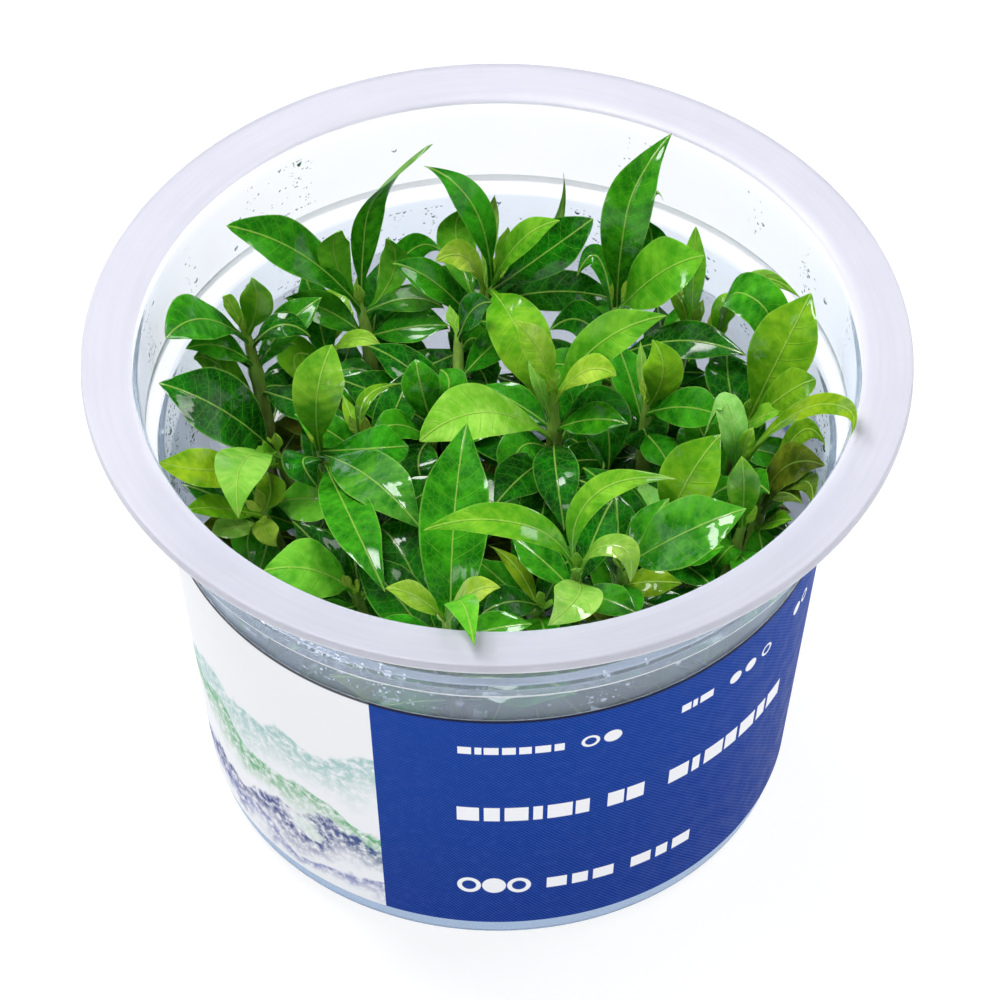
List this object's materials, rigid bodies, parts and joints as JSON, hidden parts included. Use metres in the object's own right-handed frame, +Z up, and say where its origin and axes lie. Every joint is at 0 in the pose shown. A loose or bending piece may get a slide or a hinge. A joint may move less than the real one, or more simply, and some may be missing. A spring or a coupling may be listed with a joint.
{
  "type": "aquarium plant in a culture cup",
  "caption": "Bushy aquarium stem plant with narrow glossy leaves, growing on gel in a clear flanged plastic cup with a wrap label.",
  "frame": {"origin": "centre of the cup's flat base, on the surface it stands on", "axes": "+Z up along the cup's axis, -Y towards the front, where the wrap label's blue face is and one small leaf reaches over the rim"},
  "size_m": [0.1, 0.1, 0.068],
  "materials": {
    "cup_plastic": "clear to slightly milky polypropylene, satin",
    "label_film": "printed satin film, blue with a white panel at the left",
    "culture_gel": "wet, brownish, nearly clear gel",
    "leaf": "fresh wet green leaf and stem, glossy"
  },
  "bodies": {
    "root": {"cup": "cup_plastic", "label": "label_film", "gel": "culture_gel", "shoot_back_left": "leaf", "shoot_back_middle": "leaf", "shoot_back_tall": "leaf", "shoot_back_right": "leaf", "shoot_right_arching": "leaf", "shoot_right": "leaf", "shoot_right_front": "leaf", "shoot_right_old": "leaf", "shoot_dark": "leaf", "shoot_centre": "leaf", "shoot_centre_right": "leaf", "shoot_centre_left": "leaf", "shoot_middle": "leaf", "shoot_left": "leaf", "shoot_left_edge": "leaf", "shoot_left_front": "leaf", "shoot_left_back": "leaf", "shoot_left_inner": "leaf", "shoot_left_behind": "leaf", "shoot_left_low": "leaf", "shoot_front_left": "leaf", "shoot_front": "leaf", "shoot_front_right": "leaf", "shoot_front_low": "leaf", "shoot_glossy": "leaf", "shoot_right_low": "leaf", "shoot_right_edge": "leaf"}
  },
  "joints": []
}
